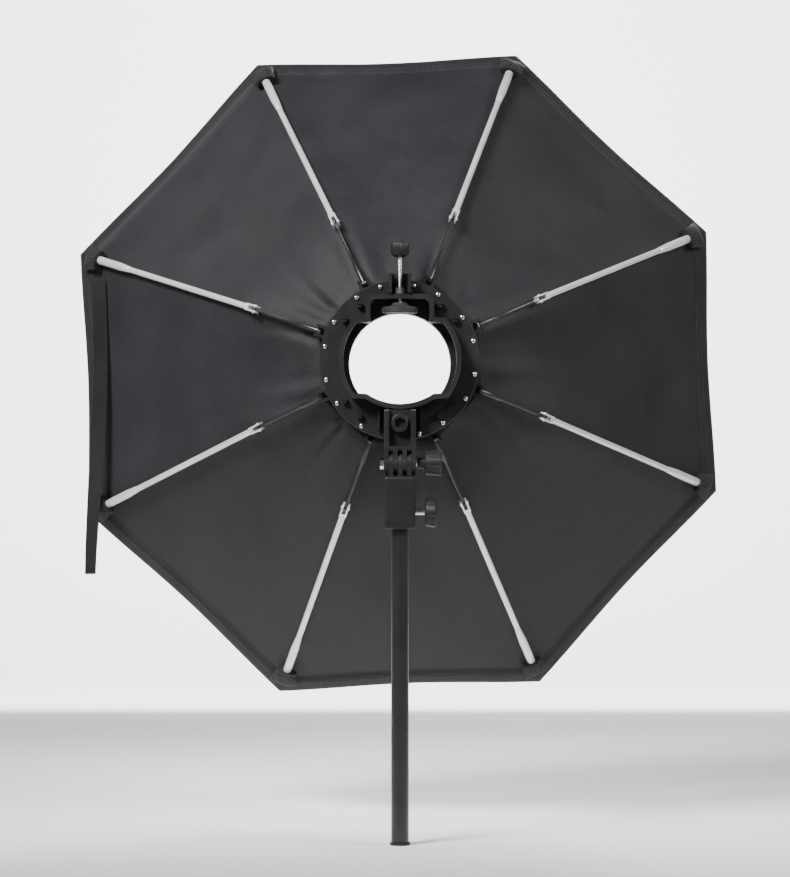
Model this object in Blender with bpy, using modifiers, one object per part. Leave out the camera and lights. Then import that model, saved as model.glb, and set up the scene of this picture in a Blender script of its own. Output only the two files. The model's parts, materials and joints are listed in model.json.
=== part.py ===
"""Octagonal quick-open softbox on a tilting flash bracket and a light-stand tube.

Metres, +Z up. The origin is the centre of the stand tube's foot. The softbox opens towards +Y, so its
back, with the bracket, faces -Y. Eight folding ribs stand around the bracket's ring.
"""

import math

import bmesh
import bpy
from mathutils import Matrix, Vector

# Driving dimensions.
GAP = 0.0003  # clearance between neighbouring pieces
RIB_COUNT = 8
SECTOR = 2 * math.pi / RIB_COUNT
FIRST_RIB = SECTOR / 2 + math.radians(2.1)  # the octagon sits a little rolled on its bracket
RING_Z = 0.440  # height of the bracket's centre

TUBE_RADIUS = 0.008
TUBE_WALL = 0.0012
TUBE_TOP = 0.3175
FOOT_THICKNESS = 0.003

BLOCK_SIZE = (0.028, 0.028, 0.0475)
BLOCK_BASE = 0.286
PIVOT_Z = 0.3455
FINGER_RADIUS = 0.0110
FINGER_PITCH = 0.0042
FINGER_THICKNESS = 0.0039
BOLT_RADIUS = 0.003
STAND_SCREW_Z = 0.301
STAND_SCREW_RADIUS = 0.0025
KNOB_X = 0.0225  # where both side knobs start

PLATE_RADIUS = 0.0735
PLATE_BACK = 0.022
PLATE_FRONT = 0.027
LIP_BACK = 0.004
LIP_WIDTH = 0.0045
OPENING_RADIUS = 0.0517
SHOULDER_Z = 0.0336
NOTCH_HALF = 0.0268
NOTCH_TOP = 0.0553
STEP_Z = -0.0308
STEP_HALF = 0.031
SEAT_DROP = 0.0097
LEDGE_SLOPE = 0.0004  # how far the opening's four ledges fall towards its middle
BOSS_CIRCLE = 0.0626
BOSS_SPREAD = math.radians(8.9)

FRONT_HOLE_RADIUS = 0.0465
FRONT_HOLE_DROP = 0.003
FRONT_RING_FRONT = 0.0318
NECK_RADIUS = 0.0555
NECK_FRONT = 0.0400
COLLAR_FRONT = 0.0415
RETAINER_RADIUS = 0.060
RETAINER_FRONT = 0.0448

CLAMP_Y = 0.009
CLAMP_SCREW_RADIUS = 0.0024
PAD_BASE = 0.0425
PAD_RADIUS = 0.0165
PAD_TOP = 0.0520
CLAMP_KNOB_BASE = 0.0935
CLAMP_KNOB_TOP = 0.1065
CLAMP_KNOB_RADIUS = 0.0085
GUIDE_TOP = 0.079
NUT_TOP = 0.0655

HINGE_R = 0.078
HINGE_Y = 0.034
LINK_SLOPE = math.radians(32.0)
RIB_SLOPE = math.radians(47.5)
ELBOW_R = 0.144
TIP_R = 0.320
SLEEVE_LENGTH = 0.060
LINK_ROD_RADIUS = 0.0014
RIB_ROD_RADIUS = 0.0028
SLEEVE_RADIUS = 0.0040

CLOTH_START_R = 0.080
CLOTH_END_R = 0.338
CLOTH_OFFSET = 0.0085
CLOTH_THICKNESS = 0.0016
BEND_START_R = 0.106
BEND_LENGTH = 0.076
LIP_LENGTH = 0.012
COLLAR_HOLE = 0.052
COLLAR_EDGE = 0.0745

STRAP_WIDTH = 0.014
STRAP_LENGTH = 0.290
STRAP_X = -0.296
STRAP_TOP_Z = RING_Z + 0.090
STRAP_Y = 0.256

ROUND = 32  # sides of a middle-sized round piece
SMALL_ROUND = 16

ELBOW_Y = HINGE_Y + (ELBOW_R - HINGE_R) * math.tan(LINK_SLOPE)

for old in list(bpy.data.objects):
    bpy.data.objects.remove(old, do_unlink=True)

parts = bpy.data.collections.new("studio_softbox")
cutters = bpy.data.collections.new("cutters")
bpy.context.scene.collection.children.link(parts)
bpy.context.scene.collection.children.link(cutters)


# ---------------------------------------------------------------- helpers


def finish(obj, colour, roughness, metallic=0.0):
    """Gives a piece its own Principled material."""
    material = bpy.data.materials.new(obj.name + "_finish")
    material.use_nodes = True
    shader = material.node_tree.nodes["Principled BSDF"]
    shader.inputs["Base Color"].default_value = (*colour, 1.0)
    shader.inputs["Roughness"].default_value = roughness
    shader.inputs["Metallic"].default_value = metallic
    obj.data.materials.clear()
    obj.data.materials.append(material)


def black_plastic(obj):
    finish(obj, (0.028, 0.028, 0.030), 0.45)


def bright_steel(obj):
    finish(obj, (0.75, 0.75, 0.76), 0.22, 1.0)


def black_cloth(obj):
    finish(obj, (0.030, 0.030, 0.034), 0.85)


def place(name, mesh, location=(0, 0, 0), rotation=(0, 0, 0), collection=parts):
    obj = bpy.data.objects.new(name, mesh)
    obj.location = location
    obj.rotation_euler = rotation
    collection.objects.link(obj)
    return obj


def box(name, low, high, collection=parts):
    """An axis-aligned box between two corners."""
    mesh = bpy.data.meshes.new(name)
    bm = bmesh.new()
    bmesh.ops.create_cube(bm, size=1.0)
    size = [b - a for a, b in zip(low, high)]
    middle = Vector([(a + b) / 2 for a, b in zip(low, high)])
    bmesh.ops.scale(bm, vec=size, verts=bm.verts)
    bmesh.ops.translate(bm, vec=middle, verts=bm.verts)
    bm.to_mesh(mesh)
    bm.free()
    return place(name, mesh, collection=collection)


def rod(name, start, end, radius, sides=SMALL_ROUND, collection=parts):
    """A cylinder between two points."""
    start = Vector(start)
    end = Vector(end)
    along = end - start
    mesh = bpy.data.meshes.new(name)
    bm = bmesh.new()
    bmesh.ops.create_cone(
        bm, cap_ends=True, segments=sides, radius1=radius, radius2=radius, depth=along.length
    )
    turn = along.to_track_quat("Z", "Y").to_matrix().to_4x4()
    bmesh.ops.transform(bm, matrix=Matrix.Translation((start + end) / 2) @ turn, verts=bm.verts)
    bm.to_mesh(mesh)
    bm.free()
    return place(name, mesh, collection=collection)


def turned(name, profile, sides=ROUND, closed=False, collection=parts):
    """A piece turned about its own Z axis from (radius, height) points, listed from the top down."""
    mesh = bpy.data.meshes.new(name)
    edges = [(i, i + 1) for i in range(len(profile) - 1)]
    if closed:
        edges.append((len(profile) - 1, 0))
    mesh.from_pydata([(r, 0, z) for r, z in profile], edges, [])
    obj = place(name, mesh, collection=collection)
    screw = obj.modifiers.new("turn", "SCREW")
    screw.steps = sides
    screw.render_steps = sides
    screw.use_merge_vertices = True
    screw.merge_threshold = 0.00001
    return obj


def outline_solid(name, points, low, high, collection=parts):
    """A flat outline in X and Z, filled and given thickness from y = low to y = high."""
    curve = bpy.data.curves.new(name, "CURVE")
    curve.dimensions = "2D"
    curve.fill_mode = "BOTH"
    curve.extrude = (high - low) / 2
    spline = curve.splines.new("POLY")
    spline.points.add(len(points) - 1)
    for point, (x, z) in zip(spline.points, points):
        point.co = (x, z, 0, 1)
    spline.use_cyclic_u = True
    source = place(name + "_curve", curve, (0, (low + high) / 2, 0), (math.pi / 2, 0, 0))
    obj = as_mesh(source, name, collection)
    return obj


def as_mesh(source, name, collection=parts):
    """Replaces an object by the mesh that it evaluates to, in world space."""
    bpy.context.view_layer.update()
    evaluated = source.evaluated_get(bpy.context.evaluated_depsgraph_get())
    mesh = bpy.data.meshes.new_from_object(evaluated)
    mesh.transform(source.matrix_world)
    bm = bmesh.new()
    bm.from_mesh(mesh)
    bmesh.ops.remove_doubles(bm, verts=bm.verts, dist=0.00001)
    bm.to_mesh(mesh)
    bm.free()
    bpy.data.objects.remove(source, do_unlink=True)
    mesh.name = name
    return place(name, mesh, collection=collection)


def boolean(obj, other, operation):
    """Cuts or joins another piece, which moves to the cutters."""
    for group in list(other.users_collection):
        group.objects.unlink(other)
    cutters.objects.link(other)
    other.hide_render = True
    other.display_type = "WIRE"
    modifier = obj.modifiers.new(operation.lower(), "BOOLEAN")
    modifier.operation = operation
    modifier.solver = "EXACT"
    modifier.object = other


def cut(obj, *others):
    for other in others:
        boolean(obj, other, "DIFFERENCE")


def join(obj, *others):
    for other in others:
        boolean(obj, other, "UNION")


def bevel(obj, width, segments=2, angle=40):
    modifier = obj.modifiers.new("bevel", "BEVEL")
    modifier.width = width
    modifier.segments = segments
    modifier.limit_method = "ANGLE"
    modifier.angle_limit = math.radians(angle)


def smooth(obj, angle=35):
    obj.data.shade_smooth()
    obj.data.set_sharp_from_angle(angle=math.radians(angle))


def arc(centre, radius, start, end, steps):
    """Points on an arc from start to end, in radians."""
    turns = [start + (end - start) * i / steps for i in range(steps + 1)]
    return [(centre[0] + radius * math.cos(t), centre[1] + radius * math.sin(t)) for t in turns]


def stand_at(obj, origin):
    """Puts an unrotated object's origin on its joint's axis without moving its shape."""
    obj.data.transform(Matrix.Translation(-Vector(origin)))
    obj.location = origin


def turn_towards(angle):
    """The rotation that takes a rib drawn along +X to its place around the ring."""
    return (0, -angle, 0)


def around_ring(radius, y, angle):
    return (radius * math.cos(angle), y, RING_Z + radius * math.sin(angle))


# ---------------------------------------------------------------- stand tube and socket


def make_stand_tube():
    inner = TUBE_RADIUS - TUBE_WALL
    base = FOOT_THICKNESS + GAP
    profile = [(inner, TUBE_TOP), (TUBE_RADIUS, TUBE_TOP), (TUBE_RADIUS, base), (inner, base)]
    tube = turned("stand_tube", profile, closed=True)
    smooth(tube)
    finish(tube, (0.035, 0.035, 0.037), 0.3, 0.6)

    stub = inner - GAP
    flange = TUBE_RADIUS + 0.0012
    height = 0.020
    plug = turned(
        "tube_foot_plug",
        [(0, height), (stub, height), (stub, FOOT_THICKNESS), (flange, FOOT_THICKNESS), (flange, 0), (0, 0)],
    )
    smooth(plug)
    black_plastic(plug)


def finger(name, x, towards):
    """One leaf of the toothed hinge: a disc on the pivot with a web up or down from it."""
    half = FINGER_THICKNESS / 2
    leaf = rod(name, (x - half, 0, PIVOT_Z), (x + half, 0, PIVOT_Z), FINGER_RADIUS, 28)
    reach = FINGER_RADIUS + 0.0025
    ends = sorted((PIVOT_Z, PIVOT_Z + towards * reach))
    web = box(name + "_web", (x - half, -0.0105, ends[0]), (x + half, 0.0105, ends[1]))
    join(leaf, web)
    return leaf


def make_socket():
    half_x, half_y = BLOCK_SIZE[0] / 2, BLOCK_SIZE[1] / 2
    block = box(
        "socket_block",
        (-half_x, -half_y, BLOCK_BASE),
        (half_x, half_y, BLOCK_BASE + BLOCK_SIZE[2]),
    )
    bevel(block, 0.0022, 3)
    for i in (-1, 0, 1):
        join(block, finger(f"socket_finger_{i + 2}", 2 * i * FINGER_PITCH, -1))
    bore = rod(
        "tube_bore",
        (0, 0, BLOCK_BASE - 0.002),
        (0, 0, TUBE_TOP + 0.0005),
        TUBE_RADIUS + GAP,
        ROUND,
    )
    pivot_hole = rod("socket_pivot_hole", (-0.02, 0, PIVOT_Z), (0.02, 0, PIVOT_Z), BOLT_RADIUS + GAP)
    screw_hole = rod(
        "socket_screw_hole",
        (0.002, 0, STAND_SCREW_Z),
        (0.02, 0, STAND_SCREW_Z),
        STAND_SCREW_RADIUS + GAP,
    )
    cut(block, bore, pivot_hole, screw_hole)
    black_plastic(block)
    stand_at(block, (0, 0, 0))

    screw = rod(
        "stand_screw", (TUBE_RADIUS + 0.0008, 0, STAND_SCREW_Z), (0.030, 0, STAND_SCREW_Z), STAND_SCREW_RADIUS
    )
    smooth(screw)
    bright_steel(screw)
    side_knob("stand_knob", STAND_SCREW_Z, 0.0142, 0.0104, 0.0, STAND_SCREW_RADIUS, 0.0080)


def side_knob(name, z, radius, length, neck, hole_radius, hole_depth):
    """A fluted knob on a screw along +X. The neck stands towards the bracket."""
    edge = 0.0012
    profile = [
        (0, length),
        (radius - 2 * edge, length),
        (radius, length - edge),
        (radius * 0.93, edge),
        (radius * 0.93 - edge, 0),
    ]
    if neck:
        profile += [(0.0052, 0), (0.0052, -neck)]
    profile.append((0, profile[-1][1]))
    knob = turned(name, profile, 36)
    flutes = 9
    for i in range(flutes):
        turn = 2 * math.pi * i / flutes
        middle = (radius * 1.12 * math.cos(turn), radius * 1.12 * math.sin(turn))
        groove = rod(
            f"{name}_flute_{i}", (*middle, -0.002), (*middle, length + 0.002), radius * 0.2, 12
        )
        groove.parent = knob
        cut(knob, groove)
    hole = rod(name + "_hole", (0, 0, -neck - 0.001), (0, 0, hole_depth), hole_radius + GAP)
    hole.parent = knob
    cut(knob, hole)
    knob.location = (KNOB_X, 0, z)
    knob.rotation_euler = (0, math.pi / 2, 0)
    black_plastic(knob)
    return knob


# ---------------------------------------------------------------- tilting arm and bracket


def make_arm():
    half = 3 * FINGER_PITCH + FINGER_THICKNESS / 2
    base = PIVOT_Z + FINGER_RADIUS + 0.0006
    top = RING_Z + STEP_Z - SEAT_DROP - LIP_WIDTH - 0.0008
    back = -0.0100
    arm = box("tilt_arm", (-half, back, base), (half, PLATE_BACK - GAP, top))
    bevel(arm, 0.0015)
    for i in range(4):
        join(arm, finger(f"arm_finger_{i + 1}", (2 * i - 3) * FINGER_PITCH, 1))
    channel = box(
        "arm_channel", (-half + 0.0048, back - 0.002, base + 0.004), (half - 0.0048, back + 0.0085, top + 0.001)
    )
    pivot_hole = rod("arm_pivot_hole", (-0.02, 0, PIVOT_Z), (0.02, 0, PIVOT_Z), BOLT_RADIUS + GAP)
    cut(arm, channel, pivot_hole)
    black_plastic(arm)
    stand_at(arm, (0, 0, PIVOT_Z))

    head_x = -half - 0.0036
    bolt = rod("tilt_bolt", (head_x, 0, PIVOT_Z), (0.030, 0, PIVOT_Z), BOLT_RADIUS)
    head = rod("bolt_head", (head_x, 0, PIVOT_Z), (head_x + 0.0033, 0, PIVOT_Z), 0.0052, 6)
    join(bolt, head)
    bright_steel(bolt)
    side_knob("tilt_knob", PIVOT_Z, 0.0118, 0.0156, 0.0070, BOLT_RADIUS, 0.0085)

    floor = back + 0.0085 - GAP
    boss_z = RING_Z - 0.058
    boss = turned(
        "arm_screw",
        [(0, 0), (0.0084, 0), (0.0084, -0.0062), (0.0072, -0.0072), (0, -0.0072)][::-1],
    )
    boss.rotation_euler = (-math.pi / 2, 0, 0)
    boss.location = (0, floor, boss_z)
    socket = rod("arm_screw_socket", (0, floor - 0.0082, boss_z), (0, floor - 0.0025, boss_z), 0.0052, 6)
    cut(boss, socket)
    black_plastic(boss)


def opening_outline(grow):
    """The flash opening: two side arcs, a notch above for the clamp and a shallow seat below."""
    radius = OPENING_RADIUS + grow
    shoulder = SHOULDER_Z + grow
    step = STEP_Z - grow
    notch = NOTCH_HALF + grow
    corner = 0.006 + grow * 0.6
    top = NOTCH_TOP + grow
    start = math.asin(step / radius)
    end = math.asin(shoulder / radius)
    seat_radius = (STEP_HALF**2 + SEAT_DROP**2) / (2 * SEAT_DROP)
    seat_centre = STEP_Z - SEAT_DROP + seat_radius
    seat_turn = math.acos((seat_centre - step + LEDGE_SLOPE) / (seat_radius + grow))
    points = arc((0, 0), radius, start, end, 14)
    points.append((notch, shoulder + LEDGE_SLOPE))
    points += arc((notch - corner, top - corner), corner, 0, math.pi / 2, 4)
    points += arc((corner - notch, top - corner), corner, math.pi / 2, math.pi, 4)
    points.append((-notch, shoulder + LEDGE_SLOPE))
    points += arc((0, 0), radius, math.pi - end, math.pi - start, 14)
    down = -math.pi / 2
    points += arc((0, seat_centre), seat_radius + grow, down - seat_turn, down + seat_turn, 10)
    return points


def raise_to_ring(points):
    return [(x, RING_Z + z) for x, z in points]


def make_bracket():
    plate = rod("bracket_plate", (0, PLATE_BACK, RING_Z), (0, PLATE_FRONT, RING_Z), PLATE_RADIUS, 64)
    bevel(plate, 0.0008, 1)
    lip = outline_solid("opening_lip", raise_to_ring(opening_outline(LIP_WIDTH)), LIP_BACK, PLATE_FRONT - 0.001)
    join(plate, lip)
    diagonals = [math.pi / 4 + i * math.pi / 2 for i in range(4)]
    for i, middle in enumerate(diagonals):
        for side in (-1, 1):
            angle = middle + side * BOSS_SPREAD
            back = around_ring(BOSS_CIRCLE, PLATE_BACK - 0.0045, angle)
            front = around_ring(BOSS_CIRCLE, PLATE_BACK + 0.002, angle)
            join(plate, rod(f"boss_{i}_{side + 1}", back, front, 0.0031, 12))
    for side in (-1, 1):
        x = side * 0.0193
        low = (x - 0.0008, PLATE_BACK - 0.0075, RING_Z - 0.0640)
        high = (x + 0.0008, PLATE_BACK + 0.001, RING_Z - 0.0420)
        join(plate, box(f"plate_web_{side + 1}", low, high))
    hole = outline_solid("opening_hole", raise_to_ring(opening_outline(0)), LIP_BACK - 0.01, PLATE_FRONT + 0.01)
    screw_hole = rod(
        "clamp_hole",
        (0, CLAMP_Y, RING_Z + NOTCH_TOP - 0.002),
        (0, CLAMP_Y, RING_Z + NOTCH_TOP + 0.006),
        CLAMP_SCREW_RADIUS + GAP,
    )
    cut(plate, hole, screw_hole)
    black_plastic(plate)
    stand_at(plate, (0, 0, RING_Z))


def make_clamp():
    base = NOTCH_TOP + LIP_WIDTH + GAP
    half = 0.0105
    guide = box(
        "clamp_guide",
        (-half, 0.0015, RING_Z + base),
        (half, PLATE_BACK - GAP, RING_Z + GUIDE_TOP),
    )
    bevel(guide, 0.0008, 1)
    channel = box(
        "guide_channel", (-0.0074, -0.002, RING_Z + base - 0.001), (0.0074, 0.0145, RING_Z + GUIDE_TOP + 0.001)
    )
    cut(guide, channel)
    black_plastic(guide)

    nut = rod("clamp_nut", (0, CLAMP_Y, RING_Z + base), (0, CLAMP_Y, RING_Z + NUT_TOP), 0.0045, 6)
    nut_hole = rod(
        "nut_hole",
        (0, CLAMP_Y, RING_Z + base - 0.002),
        (0, CLAMP_Y, RING_Z + NUT_TOP + 0.002),
        CLAMP_SCREW_RADIUS + GAP,
    )
    cut(nut, nut_hole)
    bright_steel(nut)

    screw = rod(
        "clamp_screw",
        (0, CLAMP_Y, RING_Z + PAD_TOP + GAP),
        (0, CLAMP_Y, RING_Z + CLAMP_KNOB_BASE + 0.008),
        CLAMP_SCREW_RADIUS,
    )
    smooth(screw)
    bright_steel(screw)
    stand_at(screw, (0, CLAMP_Y, RING_Z + PAD_TOP))

    radius = CLAMP_KNOB_RADIUS
    top = CLAMP_KNOB_TOP
    base = CLAMP_KNOB_BASE
    bore = CLAMP_SCREW_RADIUS + GAP
    knob = turned(
        "clamp_knob",
        [
            (0, top),
            (radius - 0.001, top),
            (radius, top - 0.001),
            (radius, base + 0.0025),
            (radius - 0.0012, base + 0.0012),
            (0.0042, base),
            (bore, base),
            (bore, base + 0.0085),
            (0, base + 0.0085),
        ],
        24,
    )
    knob.location = (0, CLAMP_Y, RING_Z)
    smooth(knob)
    black_plastic(knob)

    pad = turned(
        "clamp_pad",
        [
            (0, PAD_TOP),
            (0.0060, PAD_TOP),
            (0.0085, PAD_TOP - 0.0028),
            (PAD_RADIUS - 0.0015, PAD_TOP - 0.0040),
            (PAD_RADIUS, PAD_TOP - 0.0055),
            (PAD_RADIUS, PAD_BASE + 0.0006),
            (PAD_RADIUS - 0.0008, PAD_BASE),
            (0, PAD_BASE),
        ],
    )
    pad.location = (0, CLAMP_Y, RING_Z)
    smooth(pad)
    finish(pad, (0.02, 0.02, 0.02), 0.7)


# ---------------------------------------------------------------- rings that hold the ribs and the cloth


def flat_ring(name, hole, radius, low, high, sides=64):
    """A ring about the bracket's centre, from y = low to y = high, with its hole a little lower."""
    ring = rod(name, (0, low, RING_Z), (0, high, RING_Z), radius, sides)
    centre = RING_Z - FRONT_HOLE_DROP
    cut(ring, rod(name + "_hole", (0, low - 0.01, centre), (0, high + 0.01, centre), hole, sides))
    return ring


def make_rings():
    ring = rod("rib_hinge_ring", (0, PLATE_FRONT + GAP, RING_Z), (0, FRONT_RING_FRONT, RING_Z), PLATE_RADIUS, 64)
    join(ring, rod("ring_neck", (0, PLATE_FRONT + 0.001, RING_Z), (0, NECK_FRONT, RING_Z), NECK_RADIUS, 48))
    low = PLATE_FRONT + GAP
    high = HINGE_Y + 0.0042
    for i in range(RIB_COUNT):
        turn = turn_towards(FIRST_RIB + i * SECTOR)
        for side in (-1, 1):
            ends = sorted((side * 0.0028, side * 0.0056))
            ear = box(f"hinge_ear_{i}_{side + 1}", (0.0700, low + 0.001, ends[0]), (0.0822, high, ends[1]))
            pin_hole = rod(
                f"ear_hole_{i}_{side + 1}",
                (HINGE_R, HINGE_Y, ends[0] - 0.001),
                (HINGE_R, HINGE_Y, ends[1] + 0.001),
                0.0015,
                8,
            )
            cut(ear, pin_hole)
            for piece in (ear, pin_hole):
                piece.rotation_euler = turn
                piece.location = (0, 0, RING_Z)
            join(ring, ear)
    centre = RING_Z - FRONT_HOLE_DROP
    cut(ring, rod("ring_hole", (0, low - 0.01, centre), (0, NECK_FRONT + 0.01, centre), FRONT_HOLE_RADIUS, 64))
    black_plastic(ring)

    collar = flat_ring("cloth_collar", COLLAR_HOLE, COLLAR_EDGE, NECK_FRONT + GAP, COLLAR_FRONT)
    black_cloth(collar)
    retainer = flat_ring(
        "retainer_ring", FRONT_HOLE_RADIUS, RETAINER_RADIUS, COLLAR_FRONT + GAP, RETAINER_FRONT
    )
    black_plastic(retainer)


# ---------------------------------------------------------------- folding ribs


def along(slope, distance, across=0.0, side=0.0):
    """A point in a rib's own plane: distance along it, across it towards the front, and sideways."""
    x = distance * math.cos(slope) - across * math.sin(slope)
    y = distance * math.sin(slope) + across * math.cos(slope)
    return Vector((x, y, side))


def link_mesh():
    """The inner bar of a rib, from its hinge pin at the ring to its eye at the elbow."""
    length = (ELBOW_R - HINGE_R) / math.cos(LINK_SLOPE)
    slope = LINK_SLOPE
    link = rod("link_shape", (0, 0, -0.0025), (0, 0, 0.0025), 0.0028, 12)
    join(
        link,
        rod("link_pin", (0, 0, -0.0052), (0, 0, 0.0052), 0.0012, 8),
        rod("link_root", along(slope, 0.001), along(slope, 0.026), 0.0023, 10),
        rod("link_bar", along(slope, 0.020), along(slope, length - 0.006), LINK_ROD_RADIUS, 8),
        rod(
            "link_eye",
            along(slope, length, 0, -0.0013),
            along(slope, length, 0, 0.0013),
            0.0025,
            12,
        ),
    )
    tongue = box("link_tongue", (length - 0.009, -0.0012, -0.0012), (length - 0.0016, 0.0012, 0.0012))
    tongue.rotation_euler = (0, 0, slope)
    join(link, tongue)
    cut(
        link,
        rod("eye_hole", along(slope, length, 0, -0.003), along(slope, length, 0, 0.003), 0.0014, 8),
    )
    return as_mesh(link, "link_shape_final", cutters)


def rib_mesh():
    """The outer rod of a rib, from its forked end at the elbow to the start of its tip sleeve."""
    slope = RIB_SLOPE
    length = (TIP_R - ELBOW_R) / math.cos(slope) - SLEEVE_LENGTH
    fork = box("rib_shape", (-0.0045, -0.0030, -0.0034), (0.0120, 0.0030, 0.0034))
    fork.rotation_euler = (0, 0, slope)
    bevel(fork, 0.0006, 1)
    slot = box("fork_slot", (-0.0060, -0.0050, -0.0017), (0.0052, 0.0050, 0.0017))
    slot.rotation_euler = (0, 0, slope)
    cut(fork, slot)
    join(
        fork,
        rod("elbow_pin", (0, 0, -0.0038), (0, 0, 0.0038), 0.0010, 8),
        rod("rib_rod", along(slope, 0.0090), along(slope, length - GAP), RIB_ROD_RADIUS, 12),
    )
    return as_mesh(fork, "rib_shape_final", cutters)


def sleeve_mesh():
    """The thick sleeve on a rib's outer end, which sits in the cloth's corner pocket."""
    length = (TIP_R - ELBOW_R) / math.cos(RIB_SLOPE)
    start = length - SLEEVE_LENGTH
    radius = SLEEVE_RADIUS
    sleeve = turned(
        "sleeve_shape",
        [
            (0, length),
            (radius * 0.6, length - 0.0005),
            (radius, length - 0.0030),
            (radius, start + 0.014),
            (radius * 0.75, start + 0.001),
            (radius * 0.70, start),
            (0, start),
        ],
        12,
    )
    sleeve.rotation_euler = Vector((math.cos(RIB_SLOPE), math.sin(RIB_SLOPE), 0)).to_track_quat("Z", "Y").to_euler()
    return as_mesh(sleeve, "sleeve_shape_final", cutters)


# ---------------------------------------------------------------- cloth


def cloth_slope(radius):
    """The cloth's steepness: the link's near the ring, easing into the rib's beyond the elbow."""
    share = min(1.0, max(0.0, (radius - BEND_START_R) / BEND_LENGTH))
    eased = share * share * (3 - 2 * share)
    return LINK_SLOPE + (RIB_SLOPE - LINK_SLOPE) * eased


def cloth_y(radius, steps=60):
    """The cloth's depth under a rib at a given radius, summed from its steepness."""
    y = HINGE_Y + (CLOTH_START_R - HINGE_R) * math.tan(LINK_SLOPE) + CLOTH_OFFSET
    width = (radius - CLOTH_START_R) / steps
    for i in range(steps):
        y += math.tan(cloth_slope(CLOTH_START_R + (i + 0.5) * width)) * width
    return y


def panel_mesh():
    """The eighth of the cloth that hangs on one rib, from midline to midline, with its front lip."""
    steps = 9
    radii = [CLOTH_START_R + (CLOTH_END_R - CLOTH_START_R) * i / steps for i in range(steps + 1)]
    rows = [(radius, cloth_y(radius)) for radius in radii]
    rows.append((CLOTH_END_R - 0.002, rows[-1][1] + LIP_LENGTH))
    half = SECTOR / 2
    verts = []
    for radius, y in rows:
        across = radius * math.cos(half) * math.sin(half) - GAP
        inward = radius * math.cos(half) ** 2
        for x, z in ((inward, -across), (radius, 0), (inward, across)):
            verts.append((x - ELBOW_R, y - ELBOW_Y, z))
    faces = []
    for row in range(len(rows) - 1):
        for column in (0, 1):
            a = row * 3 + column
            faces.append((a, a + 3, a + 4, a + 1))
    mesh = bpy.data.meshes.new("panel_shape")
    mesh.from_pydata(verts, [], faces)
    source = place("panel_shape", mesh)
    solid = source.modifiers.new("thickness", "SOLIDIFY")
    solid.thickness = CLOTH_THICKNESS
    solid.offset = 1.0 if mesh.polygons[0].normal.y > 0 else -1.0
    return as_mesh(source, "panel_shape_final", cutters)


def spread_ribs():
    """Places a link, rib, sleeve and cloth panel at each of the eight corners."""
    shapes = {"link": link_mesh(), "rib": rib_mesh(), "rib_sleeve": sleeve_mesh(), "canopy_panel": panel_mesh()}
    looks = {
        "link": lambda o: finish(o, (0.03, 0.03, 0.03), 0.35, 0.5),
        "rib": lambda o: finish(o, (0.78, 0.78, 0.78), 0.35, 0.3),
        "rib_sleeve": lambda o: finish(o, (0.80, 0.80, 0.80), 0.4),
        "canopy_panel": black_cloth,
    }
    for kind, shape in shapes.items():
        looks[kind](shape)
        radius, y = (HINGE_R, HINGE_Y) if kind == "link" else (ELBOW_R, ELBOW_Y)
        for i in range(RIB_COUNT):
            angle = FIRST_RIB + i * SECTOR
            place(f"{kind}_{i + 1}", shape.data, around_ring(radius, y, angle), turn_towards(angle))
        bpy.data.objects.remove(shape, do_unlink=True)


def make_strap():
    """The tie strap that hangs from the hem at one corner."""
    half = STRAP_WIDTH / 2
    strap = box(
        "tie_strap",
        (STRAP_X - half, STRAP_Y - 0.0008, STRAP_TOP_Z - STRAP_LENGTH),
        (STRAP_X + half, STRAP_Y + 0.0008, STRAP_TOP_Z),
    )
    black_cloth(strap)


make_stand_tube()
make_socket()
make_arm()
make_bracket()
make_clamp()
make_rings()
spread_ribs()
make_strap()
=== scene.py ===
import math

import bmesh
import bpy
from mathutils import Matrix, Vector, noise
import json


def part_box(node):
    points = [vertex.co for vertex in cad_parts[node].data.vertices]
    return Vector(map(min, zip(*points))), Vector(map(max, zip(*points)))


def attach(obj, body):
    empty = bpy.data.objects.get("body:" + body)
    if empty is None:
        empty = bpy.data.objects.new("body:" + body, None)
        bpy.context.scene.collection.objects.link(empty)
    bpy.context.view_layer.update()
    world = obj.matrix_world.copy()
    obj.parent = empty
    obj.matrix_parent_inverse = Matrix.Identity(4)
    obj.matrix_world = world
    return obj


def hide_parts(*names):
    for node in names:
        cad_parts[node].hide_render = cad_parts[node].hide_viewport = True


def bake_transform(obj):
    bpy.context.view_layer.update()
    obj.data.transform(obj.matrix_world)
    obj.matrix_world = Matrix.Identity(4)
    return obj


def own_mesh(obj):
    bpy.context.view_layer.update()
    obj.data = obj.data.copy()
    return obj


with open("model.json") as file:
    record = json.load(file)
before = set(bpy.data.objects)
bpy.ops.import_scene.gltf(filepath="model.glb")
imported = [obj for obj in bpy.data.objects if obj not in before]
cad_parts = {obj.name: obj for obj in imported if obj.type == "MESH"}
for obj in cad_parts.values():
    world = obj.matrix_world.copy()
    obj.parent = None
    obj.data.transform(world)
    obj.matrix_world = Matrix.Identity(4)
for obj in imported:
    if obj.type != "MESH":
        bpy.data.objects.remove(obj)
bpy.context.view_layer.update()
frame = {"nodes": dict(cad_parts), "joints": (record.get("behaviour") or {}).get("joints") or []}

# ---------------------------------------------------------------- sizes, from the frame where it has them

RIBS = 8
SECTOR = 2 * math.pi / RIBS
JOINTS = {joint["name"]: joint for joint in frame["joints"]}


def joint_point(name):
    return Vector(JOINTS[name]["pos_m"])


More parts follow.
